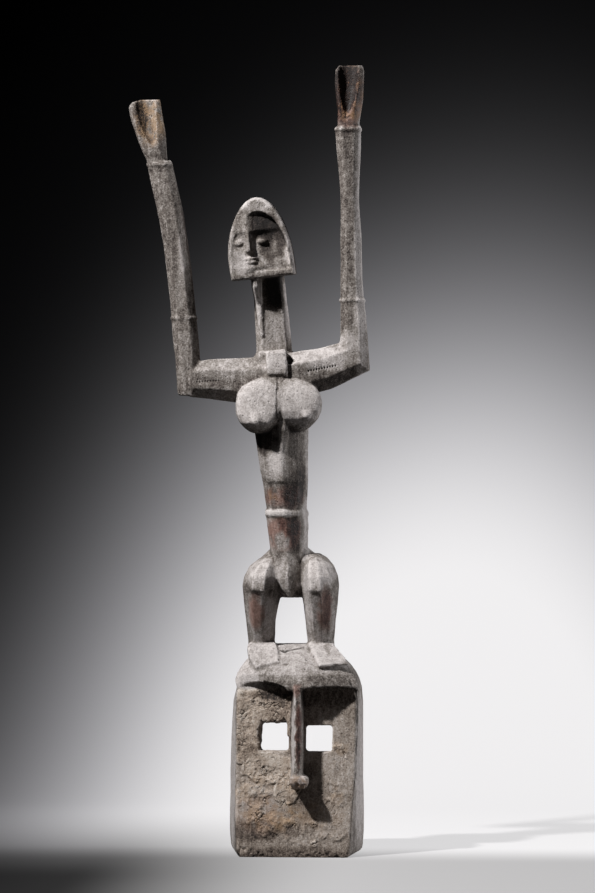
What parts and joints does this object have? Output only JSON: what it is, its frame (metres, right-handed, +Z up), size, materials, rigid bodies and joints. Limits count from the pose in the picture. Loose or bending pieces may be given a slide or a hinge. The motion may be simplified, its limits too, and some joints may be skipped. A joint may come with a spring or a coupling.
{
  "type": "satimbe mask",
  "caption": "Carved wooden mask: a box-shaped face with square eye holes and a bar nose, topped by a standing female figure with raised arms.",
  "frame": {"origin": "middle of the flat underside that the mask stands on", "axes": "+Z up along the height, -Y out of the front of the face, +X to the viewer's right when facing the front"},
  "size_m": [0.3554, 0.176, 1.1605],
  "materials": {
    "weathered_wood": "dry, dusty, crusted patina over dark carved wood"
  },
  "bodies": {
    "root": {"satimbe_mask": "weathered_wood"}
  },
  "joints": []
}
